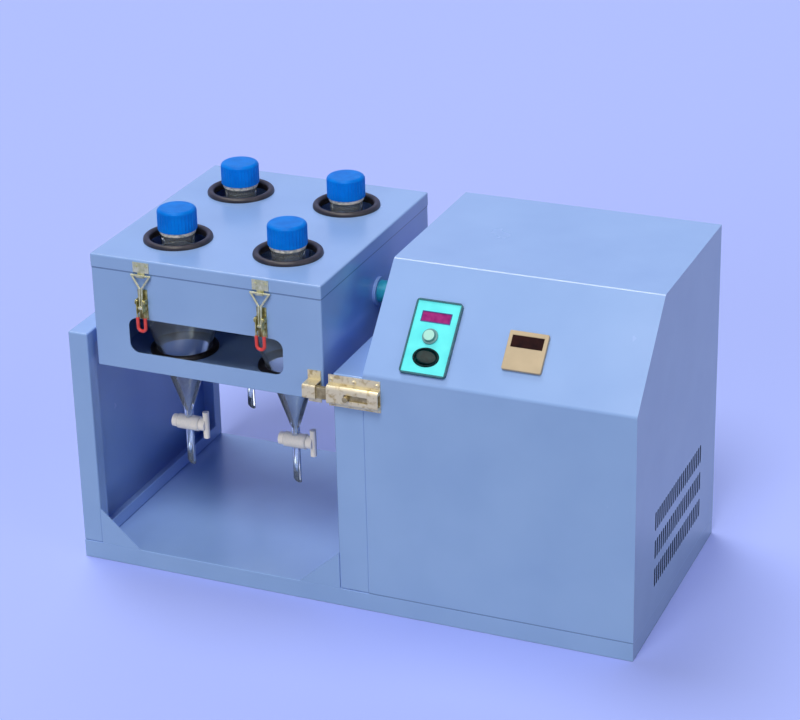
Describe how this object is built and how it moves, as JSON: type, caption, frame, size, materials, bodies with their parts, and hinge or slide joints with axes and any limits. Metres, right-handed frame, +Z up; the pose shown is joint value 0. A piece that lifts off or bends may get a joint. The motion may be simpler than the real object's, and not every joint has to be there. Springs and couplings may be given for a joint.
{
  "type": "separatory funnel shaker",
  "caption": "Bench shaker that tumbles separatory funnels in a latched sheet-metal basket on a horizontal shaft, with a motor cabinet and slanted control panel beside it.",
  "frame": {"origin": "centre of the base's underside, on the bench", "axes": "+X along the base to the cabinet's end, +Y to the back, +Z up"},
  "size_m": [0.7198, 0.3633, 0.4517],
  "materials": {
    "blue_paint": "light blue powder coat on folded steel sheet, semi-gloss",
    "zinc_sheet": "zinc plated sheet, satin",
    "teal_casting": "teal enamel on cast iron",
    "bright_steel": "turned or drawn steel, bright",
    "brass_plate": "pale brass plated steel, satin",
    "yellow_zinc": "yellow passivated zinc on pressed steel",
    "red_sleeve": "soft red PVC sleeve",
    "cyan_plastic": "moulded plastic with a cyan face",
    "teal_plastic": "moulded dark teal plastic",
    "red_window": "tinted acrylic display window",
    "black_plastic": "moulded black plastic",
    "ivory_plastic": "moulded ivory plastic",
    "brown_window": "tinted acrylic display window",
    "motor_enamel": "grey enamel on a finned casting",
    "cast_aluminium": "die-cast, satin",
    "white_plastic": "moulded white plastic",
    "grey_plastic": "moulded pale grey plastic",
    "black_rubber": "moulded rubber, slightly glossy",
    "funnel_glass": "clear borosilicate glass",
    "white_ptfe": "white fluoropolymer, waxy",
    "blue_cap": "moulded azure blue plastic"
  },
  "bodies": {
    "frame": {"base_tray": "blue_paint", "base_plate": "zinc_sheet", "left_upright": "blue_paint", "right_upright": "blue_paint", "corner_gussets": "blue_paint", "cabinet_cover": "blue_paint", "side_panel": "blue_paint", "rear_panel": "blue_paint", "end_panel": "blue_paint", "bearing_blocks": "teal_casting", "bearing_inserts": "bright_steel", "bolt_body": "brass_plate", "controller_case": "cyan_plastic", "controller_bezel": "teal_plastic", "controller_window": "red_window", "meter_case": "black_plastic", "meter_bezel": "ivory_plastic", "meter_window": "brown_window", "motor": "motor_enamel", "gearbox": "cast_aluminium", "motor_stand": "zinc_sheet", "capacitor": "white_plastic", "speed_sensor": "zinc_sheet", "cable_gland": "black_plastic", "frame_screws": "bright_steel"},
    "basket": {"basket_shell": "blue_paint", "floor_rings": "black_rubber", "funnel_1": "funnel_glass", "funnel_2": "funnel_glass", "funnel_3": "funnel_glass", "funnel_4": "funnel_glass", "shafts": "bright_steel", "shaft_flanges": "blue_paint", "shaft_spacers": "teal_casting", "shaft_coupling": "cast_aluminium", "speed_disc": "zinc_sheet", "latch_plates": "yellow_zinc", "bolt_keeper": "brass_plate", "basket_hinges": "bright_steel"},
    "lid": {"lid_pan": "blue_paint", "lid_rings": "black_rubber", "latch_catches": "yellow_zinc", "lid_hinges": "bright_steel"},
    "latch_left": {"latch_lever_left": "yellow_zinc", "handle_sleeve_left": "red_sleeve"},
    "bail_left": {"latch_bail_left": "bright_steel"},
    "latch_right": {"latch_lever_right": "yellow_zinc", "handle_sleeve_right": "red_sleeve"},
    "bail_right": {"latch_bail_right": "bright_steel"},
    "bolt": {"bolt_bar": "brass_plate"},
    "stopcock_1": {"stopcock_1": "white_ptfe"},
    "cap_1": {"cap_1": "blue_cap"},
    "stopcock_2": {"stopcock_2": "white_ptfe"},
    "cap_2": {"cap_2": "blue_cap"},
    "stopcock_3": {"stopcock_3": "white_ptfe"},
    "cap_3": {"cap_3": "blue_cap"},
    "stopcock_4": {"stopcock_4": "white_ptfe"},
    "cap_4": {"cap_4": "blue_cap"},
    "knob": {"speed_knob": "grey_plastic"},
    "switch": {"run_switch": "black_plastic"}
  },
  "joints": [
    {"name": "basket_spin", "type": "hinge", "parent": "frame", "child": "basket", "pos_m": [0, 0.0073, 0.341], "axis": [1, 0, 0], "continuous": true},
    {"name": "lid_hinge", "type": "hinge", "parent": "basket", "child": "lid", "pos_m": [-0.1757, 0.1749, 0.40295], "axis": [-1, 0, 0], "range_deg": [0, 110]},
    {"name": "latch_left_pivot", "type": "hinge", "parent": "basket", "child": "latch_left", "pos_m": [-0.25795, -0.1627, 0.36], "axis": [-1, 0, 0], "range_deg": [0, 95]},
    {"name": "bail_left_pivot", "type": "hinge", "parent": "latch_left", "child": "bail_left", "pos_m": [-0.25795, -0.16214, 0.35202], "axis": [1, 0, 0], "range_deg": [0, 161.5]},
    {"name": "latch_right_pivot", "type": "hinge", "parent": "basket", "child": "latch_right", "pos_m": [-0.10145, -0.1627, 0.36], "axis": [-1, 0, 0], "range_deg": [0, 95]},
    {"name": "bail_right_pivot", "type": "hinge", "parent": "latch_right", "child": "bail_right", "pos_m": [-0.10145, -0.16214, 0.35202], "axis": [1, 0, 0], "range_deg": [0, 161.5]},
    {"name": "bolt_slide", "type": "slide", "parent": "frame", "child": "bolt", "axis": [1, 0, 0], "range_m": [0, 0.022]},
    {"name": "stopcock_1_turn", "type": "hinge", "parent": "basket", "child": "stopcock_1", "pos_m": [-0.2489, -0.0777, 0.165], "axis": [1, 0, 0], "continuous": true},
    {"name": "stopcock_2_turn", "type": "hinge", "parent": "basket", "child": "stopcock_2", "pos_m": [-0.1025, -0.0777, 0.165], "axis": [1, 0, 0], "continuous": true},
    {"name": "stopcock_3_turn", "type": "hinge", "parent": "basket", "child": "stopcock_3", "pos_m": [-0.2489, 0.0923, 0.165], "axis": [1, 0, 0], "continuous": true},
    {"name": "stopcock_4_turn", "type": "hinge", "parent": "basket", "child": "stopcock_4", "pos_m": [-0.1025, 0.0923, 0.165], "axis": [1, 0, 0], "continuous": true},
    {"name": "cap_1_turn", "type": "hinge", "parent": "basket", "child": "cap_1", "pos_m": [-0.2489, -0.0777, 0.43], "axis": [0, 0, 1], "range_deg": [0, 540]},
    {"name": "cap_2_turn", "type": "hinge", "parent": "basket", "child": "cap_2", "pos_m": [-0.1025, -0.0777, 0.43], "axis": [0, 0, 1], "range_deg": [0, 540]},
    {"name": "cap_3_turn", "type": "hinge", "parent": "basket", "child": "cap_3", "pos_m": [-0.2489, 0.0923, 0.43], "axis": [0, 0, 1], "range_deg": [0, 540]},
    {"name": "cap_4_turn", "type": "hinge", "parent": "basket", "child": "cap_4", "pos_m": [-0.1025, 0.0923, 0.43], "axis": [0, 0, 1], "range_deg": [0, 540]},
    {"name": "speed_knob_turn", "type": "hinge", "parent": "frame", "child": "knob", "pos_m": [0.0994, -0.12675, 0.35331], "axis": [0, 0.7338, -0.6794], "range_deg": [0, 270]},
    {"name": "run_switch_rock", "type": "hinge", "parent": "frame", "child": "switch", "pos_m": [0.1004, -0.14423, 0.33502], "axis": [0, -0.6794, -0.7338], "range_deg": [0, 24]}
  ],
  "couplings": [
    {"joint": "bail_left_pivot", "follows": "latch_left_pivot", "ratio": 1.7},
    {"joint": "bail_right_pivot", "follows": "latch_right_pivot", "ratio": 1.7}
  ]
}
